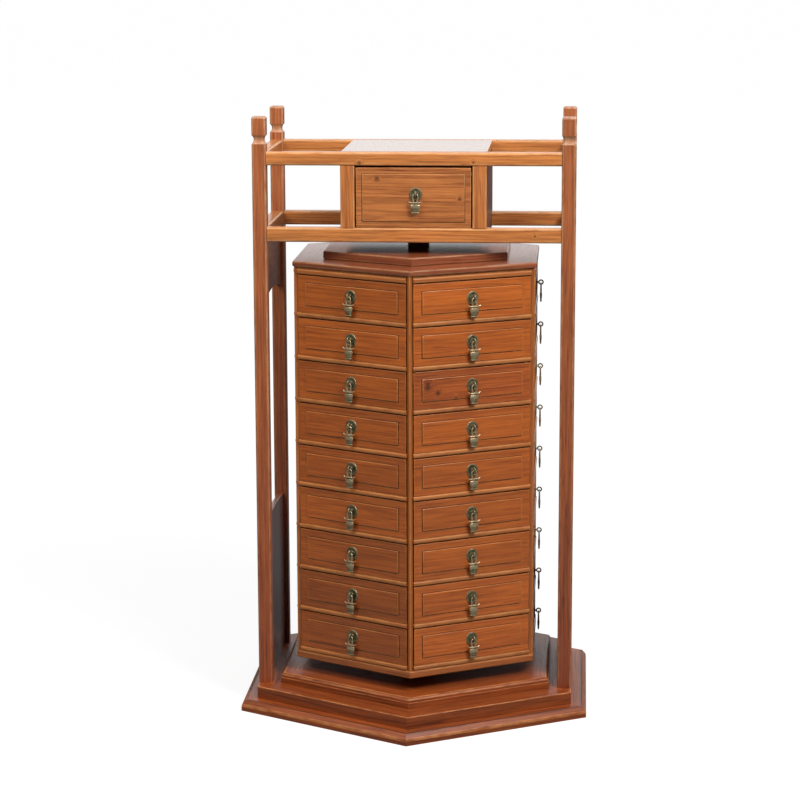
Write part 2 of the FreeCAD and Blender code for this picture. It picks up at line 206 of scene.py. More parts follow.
def freshTimber(piece):  # every board in the piece comes from another place in the tree
    mesh, along = piece.data, treeLook["along"]
    place, board = read(mesh, "grainPlace", 3), read(mesh, "board", 1)
    tone = np.zeros(len(board))
    for number in np.unique(board):
        mine = board == number
        local = place[mine]
        local = local - (local.min(0) + local.max(0)) / 2
        turn, away = draw.uniform(0, 2 * math.pi), draw.uniform(*treeLook["heart"])
        heart = (draw.uniform(-along, along), away * math.cos(turn), away * math.sin(turn))
        place[mine] = local + heart
        tone[mine] = draw.uniform(-1, 1)
    write(mesh, "grainPlace", place, 3)
    write(mesh, "boardToneAndShade", tone, 1)


def oneBoard(piece, run, slant=0):  # run is the axis that the grain follows, slant turns it in degrees
    unturned = Matrix.Rotation(math.radians(-slant), 3, "Z")
    place = np.array([unturned @ vertex.co for vertex in piece.data.vertices])
    place = np.roll(place - (place.min(0) + place.max(0)) / 2, -run, axis=1)
    write(piece.data, "grainPlace", place, 3)
    write(piece.data, "board", np.full(len(place), next(boardNumbers)), 1)
    freshTimber(piece)


def grain(piece, run, worn=treeLook["worn"], slant=0):
    oneBoard(piece, run, slant)
    mesh = piece.data
    narrow = []
    for face in mesh.polygons:
        corners = [mesh.vertices[i].co for i in face.vertices]
        longest = max((a - b).length for a, b in zip(corners, corners[1:] + corners[:1]))
        narrow.append(1.0 if face.area / longest < worn else 0.0)
    write(mesh, "arris", narrow, 1, "FACE")
    return piece


def mark(piece, value, test):  # +1 pales a face as a rubbed arris, and on some faces as a painted highlight; -1 darkens it as old polish in a crevice, and on some faces as painted shade
    worn = read(piece.data, "arris", 1)
    for face in piece.data.polygons:
        if test(face.center, face.normal):
            worn[face.index] = value
    write(piece.data, "arris", worn, 1, "FACE")


def turned(piece, angle, lift=0, reach=0, aside=0):  # a copy with its own mesh, moved and then turned about Z
    twin = piece.copy()
    twin.data = piece.data.copy()
    scene.collection.objects.link(twin)
    twin.data.transform(
        Matrix.Rotation(math.radians(angle), 4, "Z") @ Matrix.Translation((reach, aside, lift))
    )
    if "grainPlace" in twin.data.attributes:
        freshTimber(twin)
    return twin


def sixSides(piece, start=0):
    sides = [turned(piece, start + 60 * side) for side in range(6)]
    bpy.data.objects.remove(piece)
    return sides


def paint(piece, material):
    piece.data.materials.clear()
    piece.data.materials.append(material)
    return piece


def hand(piece, name, body, node=None):
    piece.name = piece.data.name = name
    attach(piece, body)
    if node:
        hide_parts(node)


def dress(piece, wood, name, node, body="frame_and_plinth", angle=40):  # no wood where it is painted already
    smooth(piece, angle)
    hand(paint(piece, wood) if wood else piece, name, body, node)


# materials

def linear(code):
    parts = [int(code[i:i + 2], 16) / 255 for i in (1, 3, 5)]
    return [c / 12.92 if c <= 0.04045 else ((c + 0.055) / 1.055) ** 2.4 for c in parts] + [1]


def addNode(tree, kind, values=(), out=0, **settings):  # kind may name the operation; values go by place or name
    kind, _, operation = kind.partition(" ")
    made = tree.nodes.new("ShaderNode" + kind)
    if operation:
        made.operation = operation
    for name, value in settings.items():
        setattr(made, name, value)
    for spot, value in values.items() if isinstance(values, dict) else enumerate(values):
        if isinstance(value, bpy.types.NodeSocket):
            tree.links.new(value, made.inputs[spot])
        else:
            made.inputs[spot].default_value = value
    return made.outputs[out] if len(made.outputs) else None


def blank(name):  # an empty material, and addNode for its tree
    material = bpy.data.materials.new(name)
    material.use_nodes = True
    material.node_tree.nodes.clear()
    return material, functools.partial(addNode, material.node_tree)


# Hardwood, sawn and planed, under a satin lacquer: growth rings cut by the board's face,
# pores and dark threads along the grain, a tone for each board and pale worn arrises; some marks are painted
# highlight and shade.
# A noise is (size along and across, detail, roughness), and a range is (none, all) of it
woodLook = dict(
    ringWidth=6.5 * mm,  # twice the real ring, so that it shows in the render
    ringShade=((0, 0), (1, 0), (0.45, 0.15), (0.82, 1)),  # (place, darkness) across a ring, its two ends first
    ringDrift=3,  # how many rings the spacing wanders by
    driftSize=45,
    taper=0.008,  # the tree grows 8 mm thinner in each metre
    waver=((2.2, 11, 11), 2, 0.55),  # a figure about 450 mm long and 90 mm wide
    waverSize=16 * mm,
    streak=((6.5, 200, 200), 5, 0.68),  # bands 150 mm long and 5 mm wide, with finer ones inside
    streakRange=(0.4, 0.6),
    thread=((11, 330, 330), 2, 0.55),  # dark flecks 90 mm long and 3 mm wide
    threadRange=(0.6, 0.7),
    pore=((28, 800, 800), 2, 0.55),  # pores 36 mm long and 1.2 mm wide, as coarse as shows
    poreRange=(0.56, 0.72),
    cloud=((2.5, 13, 13), 2, 0.55),
    rub=((30, 90, 90), 3, 0.55),  # fingers wear an arris in patches about 30 mm long
    rubRange=(0.28, 0.6),
    ringShare=0.24,  # what each figure gives to the dark shade
    streakShare=0.52,
    threadShare=0.45,
    cloudDepth=0.55,  # how much each one changes the light
    boardDepth=0.12,
    poreDepth=0.22,
    knotDepth=0.75,
    knotPush=20 * mm,
    paleShade=(1.30, 1.36, 1.40),
    darkShade=(0.52, 0.41, 0.36),
    # the colour that old polish in crevices, and painted shade, darken a face towards, and how far
    grimeAndShade="#2A160C",
    grimeAndShadeDepth=0.75,
    headShade=(1, 1.08, 1.14),  # painted shade by height: a post's colour at its head, where foot gives the darker one near the floor
    footReach=(100 * mm, 1200 * mm),
    poreRough=0.18,
    poreSink=0.7,
    ringRise=0.3,
    bumpStrength=0.25,
    bumpHeight=0.25 * mm,
    coatRough=0.14,
    treeSpot=(0, 70 * mm, 400 * mm),  # where a standing piece lies in its tree
)


def shaded(colour, shade, amount):
    return [c * (1 + (s - 1) * amount) for c, s in zip(colour, shade)] + [1]


def woodMaterial(name, colour, worn=None, contrast=1.0, roughness=0.42, coat=0.45, knots=(), foot=None,
                 wear=0.6):  # knots are (place, size) and foot a painted shade near the floor; a CAD node has no marks of its own, so no worn
    material, add = blank(name)
    look, spot = woodLook, add("TexCoord", out="Object")
    pale, dark = (shaded(linear(colour), look[shade], contrast) for shade in ("paleShade", "darkShade"))

    def noise(pattern, along, out=0):  # drawn out along the grain
        size, detail, rough = look[pattern]
        along = add("VectorMath MULTIPLY", [along, size])
        return add("TexNoise", {"Vector": along, "Scale": 1, "Detail": detail, "Roughness": rough}, out)

    if worn:
        place = add("Attribute", out="Vector", attribute_name="grainPlace")
    else:  # the tree stands upright
        place = add("Mapping", [spot, look["treeSpot"], (0, math.pi / 2, 0)])

    centred = add("VectorMath SUBTRACT", [noise("waver", place, "Color"), (0.5, 0.5, 0.5)])
    wander = add("VectorMath MULTIPLY", [centred, (0, look["waverSize"], look["waverSize"])])
    wandered = add("VectorMath ADD", [place, wander])
    swell = 0.0
    for knot, size in knots:  # the rings run round a knot, and its heart is dark
        away = add("VectorMath DISTANCE", [spot, knot], "Value")
        bulge = add("MapRange", [away, 0, size, 1, 0], interpolation_type="SMOOTHSTEP")
        swell = add("Math MAXIMUM", [swell, bulge])
    if knots:
        push = add("Math MULTIPLY", [swell, look["knotPush"]])
        wandered = add("VectorMath ADD", [wandered, add("CombineXYZ", [0, push, push])])
    along, across, up = add("SeparateXYZ", [wandered]).node.outputs
    radius = add("VectorMath LENGTH", [add("CombineXYZ", [0, across, up])], "Value")
    radius = add("Math MULTIPLY_ADD", [along, look["taper"], radius])
    drift = add("Math MULTIPLY", [radius, look["driftSize"]])
    drift = add("TexNoise", {"W": drift, "Scale": 1, "Detail": 1}, noise_dimensions="1D")
    drift = add("Math MULTIPLY", [drift, look["ringDrift"]])
    ring = add("Math FRACT", [add("Math MULTIPLY_ADD", [radius, 1 / look["ringWidth"], drift])])
    band = add("ValToRGB", [ring])
    ramp = band.node.color_ramp
    ramp.interpolation = "EASE"
    for number, (at, depth) in enumerate(look["ringShade"]):
        stop = ramp.elements[number] if number < 2 else ramp.elements.new(at)
        stop.color = (depth, depth, depth, 1)

    pores = add("MapRange", [noise("pore", place), *look["poreRange"]])
    threads = add("MapRange", [noise("thread", wandered), *look["threadRange"]])
    streaks = add("MapRange", [noise("streak", wandered), *look["streakRange"]])
    figure = 0.0
    for part, share in ((band, "ringShare"), (streaks, "streakShare"), (threads, "threadShare")):
        figure = add("Math MULTIPLY_ADD", [part, look[share], figure], use_clamp=True)
    colour = add("Mix", {0: figure, 6: pale, 7: dark}, 2, data_type="RGBA")

    light = add("Math MULTIPLY_ADD", [noise("cloud", place), look["cloudDepth"], 1 - look["cloudDepth"] / 2])
    changes = [(pores, -look["poreDepth"])]
    if worn:
        changes.append((add("Attribute", out="Fac", attribute_name="boardToneAndShade"), look["boardDepth"]))
    if knots:
        changes.append((add("Math POWER", [swell, 3]), -look["knotDepth"]))
    for part, depth in changes:
        light = add("Math MULTIPLY", [light, add("Math MULTIPLY_ADD", [part, depth, 1])])
    colour = add("VectorMath SCALE", {0: colour, "Scale": light})

    # faces marked above 0 go pale as wear, some of them as a painted highlight; below 0 they go dark as old polish,
    # some of them as painted shade
    if worn:
        arris = add("Attribute", out="Fac", attribute_name="arris")
        wearAndHighlight = add("MapRange", [noise("rub", place), *look["rubRange"]])
        wearAndHighlight = add("Math MULTIPLY", [add("Math MULTIPLY", [arris, wear], use_clamp=True), wearAndHighlight])
        colour = add("Mix", {0: wearAndHighlight, 6: colour, 7: linear(worn)}, 2, data_type="RGBA")
        grimeAndShadeMask = add("Math MULTIPLY", [arris, -look["grimeAndShadeDepth"]], use_clamp=True)
        colour = add("Mix", {0: grimeAndShadeMask, 6: colour, 7: linear(look["grimeAndShade"])}, 2, data_type="RGBA")
    # painted shade: darker and redder towards the floor, lighter at the head
    if foot:
        height = add("MapRange", [add("SeparateXYZ", [spot], "Z"), *look["footReach"]])
        shade = add("Mix", {0: height, 6: (*foot, 1), 7: (*look["headShade"], 1)}, 2, data_type="RGBA")
        colour = add("VectorMath MULTIPLY", [colour, shade])

    relief = add("Math MULTIPLY", [band, look["ringRise"]])
    relief = add("Math MULTIPLY_ADD", [pores, -look["poreSink"], relief])
    bump = add("Bump", {"Height": relief, "Strength": look["bumpStrength"], "Distance": look["bumpHeight"]})
    shader = add(
        "BsdfPrincipled",
        {
            "Base Color": colour,
            "Roughness": add("Math MULTIPLY_ADD", [pores, look["poreRough"], roughness]),
            "Normal": bump,
            "Coat Weight": coat,
            "Coat Roughness": look["coatRough"],
        },
    )
    add("OutputMaterial", {"Surface": shader})
    return material


railKnots = [((-0.12, -0.18, 1.254), 0.012), ((0.133, -0.18, 1.257), 0.009), ((0.27, -0.18, 1.094), 0.009)]
railWood = woodMaterial("lacqueredHardwoodRails", "#BB7237", "#D9A066", contrast=1.1, knots=railKnots)
postWood = woodMaterial("lacqueredHardwoodPosts", "#A0562D", "#C4926A", contrast=1.1, foot=(0.74, 0.6, 0.54))
frontWood = woodMaterial("lacqueredHardwoodFronts", "#A95519", "#C98544", contrast=0.85)
uprightWood = woodMaterial("lacqueredHardwoodUprights", "#A96430", "#D9A066", contrast=1.1)
friezeKnots = [((-0.081, -0.18, 1.221), 0.012), ((0.103, -0.18, 1.176), 0.011)]
friezeWood = woodMaterial("lacqueredHardwoodFrieze", "#A2602F", "#C98A4C", contrast=1.3, knots=friezeKnots)
frontKnots = [
    ((0.0389, -0.2914, 0.772), 0.026), ((0.0605, -0.279, 0.757), 0.016), ((0.0995, -0.2565, 0.742), 0.012)
]
knottyWood = woodMaterial("lacqueredHardwoodKnotty", "#A24F1C", "#C98544", contrast=1.2, knots=frontKnots)
edgeWood = woodMaterial("lacqueredHardwoodEdges", "#9F5723", "#B97A3E", contrast=0.7)
plinthWood = woodMaterial("lacqueredHardwoodPlinth", "#894015", "#C07A44", contrast=1.25, coat=0.08, wear=0.8)
topWood = woodMaterial("polishedHardwoodTops", "#824325", "#A87850", roughness=0.34, coat=0.55)
mirrorWood = woodMaterial("burnishedHardwoodTop", "#94603C", "#C9A077", contrast=0.7, roughness=0.26, coat=1)
# the frieze box's sides: a darker wood, made darker still as painted shade
shadedDarkSideWood = woodMaterial("shadedDarkHardwoodSides", "#6A3B24", "#A87850", roughness=0.5, coat=0.2)
innerWood = woodMaterial("planedHardwoodInside", "#A87C50", "#C9A077", contrast=0.6, roughness=0.6, coat=0)
partitionWood = woodMaterial("planedHardwoodPartition", "#9A6E44", contrast=0.6, roughness=0.6, coat=0)
spindleWood = woodMaterial("turnedHardwood", "#5A3820")

# Cast brass, darkened with age: olive-brown with a little green in the hollows, paler where fingers rub it, and a
# painted highlight on the drop's bell
brassLook = dict(
    bare="#BBA884",
    dark="#33270F",
    bloom="#74805A",
    patchScale=120,  # dark patches 8 mm wide, and green ones of 5 mm
    patchRange=(0.4, 0.7, 0, 0.45),
    bloomScale=190,
    bloomRange=(0.42, 0.6, 0, 0.75),
    gritScale=700,
    gritHeight=0.15 * mm,
    rough=(0.34, 0.6),
    metal=0.7,
)


def brassMaterial():
    material, add = blank("agedCastBrass")
    look, spot = brassLook, add("TexCoord", out="Object")
    hollow = add("Attribute", out="Fac", attribute_name="hollow")
    patch, bloom, grit = (
        add("TexNoise", {"Vector": spot, "Scale": look[scale], "Detail": detail})
        for scale, detail in (("patchScale", 3), ("bloomScale", 2), ("gritScale", 2))
    )
    dark = add("Math ADD", [add("MapRange", [patch, *look["patchRange"]]), hollow], use_clamp=True)
    colour = add("Mix", {0: dark, 6: linear(look["bare"]), 7: linear(look["dark"])}, 2, data_type="RGBA")
    bloom = add("Math MULTIPLY", [add("MapRange", [bloom, *look["bloomRange"]]), hollow])
    colour = add("Mix", {0: bloom, 6: colour, 7: linear(look["bloom"])}, 2, data_type="RGBA")
    rough = add("MapRange", [dark, 0, 1, *look["rough"]])
    bump = add("Bump", {"Height": grit, "Strength": 0.2, "Distance": look["gritHeight"]})
    shader = add(
        "BsdfPrincipled", {"Base Color": colour, "Roughness": rough, "Metallic": look["metal"], "Normal": bump}
    )
    add("OutputMaterial", {"Surface": shader})
    return material


# Cast iron, left as it came from the foundry: near black and dull, with a sandy skin
ironLook = dict(low="#2E2A27", high="#4A423B", sandScale=900, sandHeight=0.4 * mm, rough=0.62, metal=0.7)


def ironMaterial():
    material, add = blank("bareCastIron")
    look, spot = ironLook, add("TexCoord", out="Object")
    skin = add("TexNoise", {"Vector": spot, "Scale": look["sandScale"], "Detail": 4})
    colour = add("Mix", {0: skin, 6: linear(look["low"]), 7: linear(look["high"])}, 2, data_type="RGBA")
    bump = add("Bump", {"Height": skin, "Strength": 0.4, "Distance": look["sandHeight"]})
    shader = add(
        "BsdfPrincipled",
        {"Base Color": colour, "Roughness": look["rough"], "Metallic": look["metal"], "Normal": bump},
    )
    add("OutputMaterial", {"Surface": shader})
    return material


brass, iron = brassMaterial(), ironMaterial()
print("materials: wood, brass and iron are mixed")


# the stepped plinth

plinth = dict(
    sizes(
        baseInner=320, ledge=360, edgeHeight=13.4, edgeRound=4,
        quirkBack=11, quirkWide=4, quirkDeep=2, quirkLip=2,  # a small sunk line round the base, behind its edge
        middleInner=290, middleRound=2.2, bearerHalf=45, bearerRound=1,
        topFrame=70, fascia=13.8, fasciaRound=0.8, capSetback=1.5, capRound=8, panelRound=0.6, worn=1.2,
    ),
    # painted shade in the sunk line
    quirkShade=-0.9,
    # painted highlight on two bands of the cap's rounding that lean up, with painted shade between and under them, as
    # (upward lean of the rounding's faces, mark)
    capLightAndShade=(((0.9, 0.995), 1), ((0.66, 0.9), -0.55), ((0.3, 0.66), 0.8), ((0.02, 0.3), -0.5)),
)


def makePlinth():
    size, worn = plinth, plinth["worn"]
    low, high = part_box("plinth_base_board")
    reach, edge = high.x, size["edgeHeight"]
    quirk = reach - size["quirkBack"]
    sunk, lip = quirk - size["quirkWide"], quirk + size["quirkLip"]
    base = mitredBoard(size["baseInner"], reach, low.z, high.z)
    for x in (size["ledge"], sunk, quirk, lip):
        cut(base, (x, 0, 0), (1, 0, 0))
    shift(base, lambda p: near(p.x, reach) and p.z > high.z / 2, (0, 0, edge - high.z))
    roundEdges(base, size["edgeRound"], edgesAt(reach, edge), 4)
    shift(base, lambda p: near(p.x, quirk) and p.z > edge / 2, (0, 0, -size["quirkDeep"]))
    grain(base, 1)
    # painted shade on the floor of the sunk line
    mark(base, size["quirkShade"], lambda c, n: between(c.x, (sunk, quirk)) and n.z > 0)
    mark(base, 1, lambda c, n: between(c.x, (quirk, lip)) and n.z > 0)
    dress(joined(sixSides(base)), plinthWood, "plinthBase", "plinth_base_board")

    low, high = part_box("plinth_middle_board")
    inner, half = size["middleInner"], size["bearerHalf"]
    middle = mitredBoard(inner, high.x, low.z, high.z)
    roundEdges(middle, size["middleRound"], edgesAt(high.x, high.z))
    sides = sixSides(grain(middle, 1))
    bearer = boardBox((-inner, -half, low.z), (inner, half, high.z))
    roundEdges(bearer, size["bearerRound"], segments=1)
    dress(joined(sides + [grain(bearer, 0)]), plinthWood, "plinthMiddle", "plinth_middle_board")

    low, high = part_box("plinth_top_board")
    inner, seam, outer = high.x - size["topFrame"], low.z + size["fascia"], high.x - size["capSetback"]
    fascia = mitredBoard(inner, high.x, low.z, seam)
    roundEdges(fascia, size["fasciaRound"], edgesAt(high.x), 2)
    cap = mitredBoard(inner, outer, seam, high.z)
    roundEdges(cap, size["capRound"], edgesAt(outer, high.z), 6)
    grain(cap, 1, worn)
    # painted highlight and shade by how far each face of the rounding leans up
    for lean, paintedLight in size["capLightAndShade"]:
        mark(cap, paintedLight, lambda c, n: between(n.z, lean))
    sides = sixSides(joined([grain(fascia, 1, worn), cap]))
    centrePanel = added(
        bpy.ops.mesh.primitive_cylinder_add, vertices=6, radius=inner / steep, depth=high.z - low.z,
        location=(0, 0, (low.z + high.z) / 2),
    )
    roundEdges(centrePanel, size["panelRound"], edgesAt(z=high.z), 2)
    dress(joined(sides + [grain(centrePanel, 0, worn)]), plinthWood, "plinthTop", "plinth_top_board")
    print("plinth: base, middle and top are mitred")


makePlinth()


# posts and rails

post = dict(
    sizes(
        arris=4, shoulder=1296, neckSide=23, headBottom=1315.5, headRound=5,
        lean=6, least=1.5,  # an upright edge leans less than the one and is longer than the other
    ),
    neckSteps=9,
)


def makePost(node, name):
    low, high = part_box(node)
    centre, half = (low + high) / 2, (high.x - low.x) / 2
    piece = boardBox(low, high)
    bottom, top, steps = post["shoulder"], post["headBottom"], post["neckSteps"]
    middle, reach = (bottom + top) / 2, (top - bottom) / 2
    hollow = half - post["neckSide"] / 2
    curve = (reach ** 2 + hollow ** 2) / 2 / hollow
    levels = [bottom + (top - bottom) * step / (steps - 1) for step in range(steps)]
    for z in levels:
        cut(piece, (0, 0, z), (0, 0, 1))
    for z in levels[1:-1]:
        waist = half - hollow + curve - math.sqrt(curve ** 2 - (z - middle) ** 2)
        stretch(piece, lambda p: near(p.z, z), (waist / half, waist / half, 1), (centre.x, centre.y, z))
    roundEdges(piece, post["headRound"], edgesAt(z=high.z), 4)
    lean, least = post["lean"], post["least"]
    upright = lambda a, b: abs(a.z - b.z) > least and near(a.x, b.x, lean) and near(a.y, b.y, lean)
    roundEdges(piece, post["arris"], upright, 4)
    dress(grain(piece, 2), postWood, name, node, angle=35)


for side in ("front_left", "front_right", "back_left", "back_right"):
    first, second = side.split("_")
    makePost(side + "_post", first + second.title() + "Post")

rail = sizes(depth=30, arris=5, postSide=32)


def makeRails(node, name):
    low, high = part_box(node)
    depth, inX, inY = rail["depth"], high.x - rail["postSide"], high.y - rail["postSide"]
    places = [(0, -inX, y, inX, y + depth) for y in (low.y, high.y - depth)]
    places += [(1, x, -inY, x + depth, inY) for x in (low.x, high.x - depth)]
    bars = []
    for run, x0, y0, x1, y1 in places:
        bar = boardBox((x0, y0, low.z), (x1, y1, high.z))
        roundEdges(bar, rail["arris"], longEdges(run), 4)
        bars.append(grain(bar, run))
    dress(joined(bars), railWood, name, node)


makeRails("upper_rails", "upperRails")
makeRails("lower_rails", "lowerRails")
print("frame: posts and rails are up")


# aprons and low panels at the two ends

panel = dict(
    sizes(thickness=12, arris=2.5, apronLow=934, apronArch=16, panelHigh=428, panelArch=9, slack=0.5, worn=2),
    steps=16,  # lengths that the arch is made of
)


def arched(x0, x1, half, low, high, edge, rise):  # edge is the height of the side that arches
    piece = boardBox((x0, -half, low), (x1, half, high))
    steps, slack = panel["steps"], panel["slack"]
    for step in range(1, steps):
        cut(piece, (0, -half + 2 * half * step / steps, 0), (0, 1, 0))
    for vertex in piece.data.vertices:
        if near(vertex.co.z, edge):
            vertex.co.z += rise * (1 - (vertex.co.y / half) ** 2)
    lip = lambda p: edge - slack < p.z < edge + rise + slack
    roundEdges(piece, panel["arris"], lambda a, b: lip(a) and lip(b) and near(a.x, b.x))
    return piece


def makeEndPanels():
    low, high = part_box("end_panels")
    apronLow, panelHigh, worn = panel["apronLow"], panel["panelHigh"], panel["worn"]
    boards = []
    for x0 in (low.x, high.x - panel["thickness"]):
        x1 = x0 + panel["thickness"]
        apron = arched(x0, x1, high.y, apronLow, high.z, apronLow, panel["apronArch"])
        boards.append(grain(apron, 1, worn))
        lower = arched(x0, x1, high.y, low.z, panelHigh, panelHigh, panel["panelArch"])
        boards.append(grain(lower, 2, worn))
    dress(joined(boards), postWood, "endPanels", "end_panels")


makeEndPanels()


# the frieze box

frieze = dict(
    sizes(
        uprightWidth=32, uprightDepth=30, arris=3, grimeReach=1,
        boardThickness=12, topThickness=15, backThickness=10, boardRound=0.8, boardWorn=1.5,
        beamWidth=30, blockHalf=32, blockLow=1079, guideHeight=20,
    ),
    uprightShade=-0.85,  # painted shade darkens the uprights' outer sides, reaching round their arrises as far as given above
)


def makeFrieze():
    low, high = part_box("frieze_uprights")
    width, deep = frieze["uprightWidth"], frieze["uprightDepth"]
    bars = []
    for x0 in (low.x, high.x - width):
        for y0 in (low.y, high.y - deep):
            bar = boardBox((x0, y0, low.z), (x0 + width, y0 + deep, high.z))
            roundEdges(bar, frieze["arris"], longEdges(2))
            bars.append(grain(bar, 2))
            # painted shade on each upright's outer side
            outer = lambda c, n: abs(n.x) > square and near(abs(c.x), high.x, frieze["grimeReach"])
            mark(bar, frieze["uprightShade"], outer)
    dress(joined(bars), uprightWood, "friezeUprights", "frieze_uprights")

    floor, ceiling = low.z, high.z
    low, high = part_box("frieze_boards")
    half, depth = high.x, -low.y
    lane, skin = half - width, half - frieze["boardThickness"]
    topLow, floorLow = high.z - frieze["topThickness"], floor - frieze["boardThickness"]
    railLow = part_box("lower_rails")[0].z
    boards = []

    def lay(corner, opposite, run, wood=railWood):
        pair = [sorted(ends) for ends in zip(corner, opposite)]
        board = boardBox([ends[0] for ends in pair], [ends[1] for ends in pair])
        roundEdges(board, frieze["boardRound"], segments=2)
        boards.append(paint(grain(board, run, frieze["boardWorn"]), wood))

    lay((-half, -depth, topLow), (half, depth, high.z), 0, mirrorWood)
    for side in (-1, 1):
        # the sides in the darker wood with painted shade
        lay((side * half, -depth, floor), (side * skin, depth, topLow), 1, shadedDarkSideWood)
        lay((side * half, -depth, railLow), (side * lane, depth, floor), 1, shadedDarkSideWood)
        lay((side * skin, -depth, floor), (side * lane, depth, floor + frieze["guideHeight"]), 1)
        near0, near1 = side * frieze["blockHalf"], side * (frieze["blockHalf"] + frieze["beamWidth"])
        lay((-lane, near0, frieze["blockLow"]), (lane, near1, floorLow), 0)
    lay((-lane, -depth, floorLow), (lane, depth, floor), 0)
    lay((-lane, high.y - frieze["backThickness"], floor), (lane, high.y, ceiling), 0)
    dress(joined(boards), None, "friezeBoards", "frieze_boards")
    print("frieze: the box is closed")


makeFrieze()


# the case that revolves

case = dict(
    sizes(
        innerReach=25, edgeRound=3.5, topStep=12.4, raisedCorner=240,
        postShow=10.3, postBack=303.06, postHalf=10, postRound=4.5, postWorn=2, partitionHalf=5,
        shelfHeight=10.5, shelfPitch=97.5, shelfBack=264.96, shelfRound=4,
        beadHeight=12, neckHeight=4.1, neckSetback=5, neckRound=0.5,
    ),
    rows=9,
)


def makeCase():
    dressCase = functools.partial(dress, body="revolving_case")
    innerReach, edgeRound, shelfRound = case["innerReach"], case["edgeRound"], case["shelfRound"]
    low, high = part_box("case_bottom_board")
    apothem, floor = high.x, high.z
    bottom = mitredBoard(innerReach, apothem, low.z, floor)
    roundEdges(bottom, edgeRound, levelEdges(apothem))
    dressCase(joined(sixSides(grain(bottom, 1))), edgeWood, "caseBottom", "case_bottom_board")

    low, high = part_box("case_top_boards")
    topLow, step, raisedReach = low.z, low.z + case["topStep"], case["raisedCorner"] * steep
    lower = mitredBoard(innerReach, high.x, topLow, step)
    roundEdges(lower, edgeRound, levelEdges(high.x), 4)
    raised = mitredBoard(innerReach, raisedReach, step, high.z)
    roundEdges(raised, edgeRound, levelEdges(raisedReach), 4)
    piece = joined(sixSides(joined([grain(lower, 1), grain(raised, 1)])))
    dressCase(piece, topWood, "caseTop", "case_top_boards")

    nose = apothem / steep
    corner = boardBox((case["postBack"], -case["postHalf"], floor), (nose, case["postHalf"], topLow))
    for side in (-1, 1):  # a face that meets the other at the nose, then the post's edge on it
        cut(corner, (nose, 0, 0), (0.5, side * steep, 0), True)
        along = Vector((-0.5 * side, steep, 0)) * side
        cut(corner, Vector((nose, 0, 0)) + along * case["postShow"], along, True)
    roundEdges(corner, case["postRound"], edgesAt(nose), 5)
    piece = joined(sixSides(grain(corner, 2, case["postWorn"]), 30))
    dressCase(piece, edgeWood, "caseCornerPosts", "case_corner_posts", angle=30)

    half, innerHalf = (reach * slope - case["partitionHalf"] / steep for reach in (case["shelfBack"], innerReach))

    def shelf(low, height, reach, rounding):
        board = boardBox((innerReach, -half, low), (reach, half, low + height))
        cut(board, (case["shelfBack"], 0, 0), (1, 0, 0))
        stretch(board, lambda p: near(p.x, innerReach), (1, innerHalf / half, 1))
        roundEdges(board, rounding, levelEdges(reach), 4)
        return grain(board, 1)

    model = shelf(floor, case["shelfHeight"], apothem, shelfRound)
    boards = []
    for level in range(case["rows"]):
        boards += [turned(model, 60 * side, level * case["shelfPitch"]) for side in range(6)]
    bpy.data.objects.remove(model)
    top = floor + case["rows"] * case["shelfPitch"]
    boards += sixSides(shelf(top, case["beadHeight"], apothem, shelfRound))
    neckReach = apothem - case["neckSetback"]
    boards += sixSides(shelf(top + case["beadHeight"], case["neckHeight"], neckReach, case["neckRound"]))
    dressCase(joined(boards), edgeWood, "caseShelves", "case_shelves")
    print("case: boards, corner posts and shelves are in")


makeCase()
for node, material in dict(case_partitions=partitionWood, pivot_spindle=spindleWood, pivot_bearings=iron).items():
    paint(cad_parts[node], material)


# the drawers

drawer = dict(
    sizes(
        face=269.998, frontThickness=15, frontHalf=146.2, height=84.5, arris=1.4, worn=1.2,
        firstOpening=917.5, pitch=97.5, gap=1, restGap=0.3, eyeRise=49.2,
        wall=8, sideHeight=70, innerReach=95, insideRound=0.6, insideWorn=1, floorThickness=5, floorLift=3,
        fieldSide=21.5, fieldEnd=17, fieldRise=1.8, fieldRoot=2, fieldBevel=1.3,
        groove=3.2, grooveWall=1.7, grooveDepth=1.3,
    ),
    # old polish and painted shade in the groove's floor and on the field's sides
    grooveGrimeAndShade=-0.8,
    grooveFloor=0.9,  # the floor's faces are deeper than this share of the groove
    grooveHighlight=0.5,
    highlightDepth=(0.2, 0.8),  # a painted highlight on the groove's walls, between these shares of its depth, with the arris over and under them
    highlightLean=(0.3, 0.95),
)


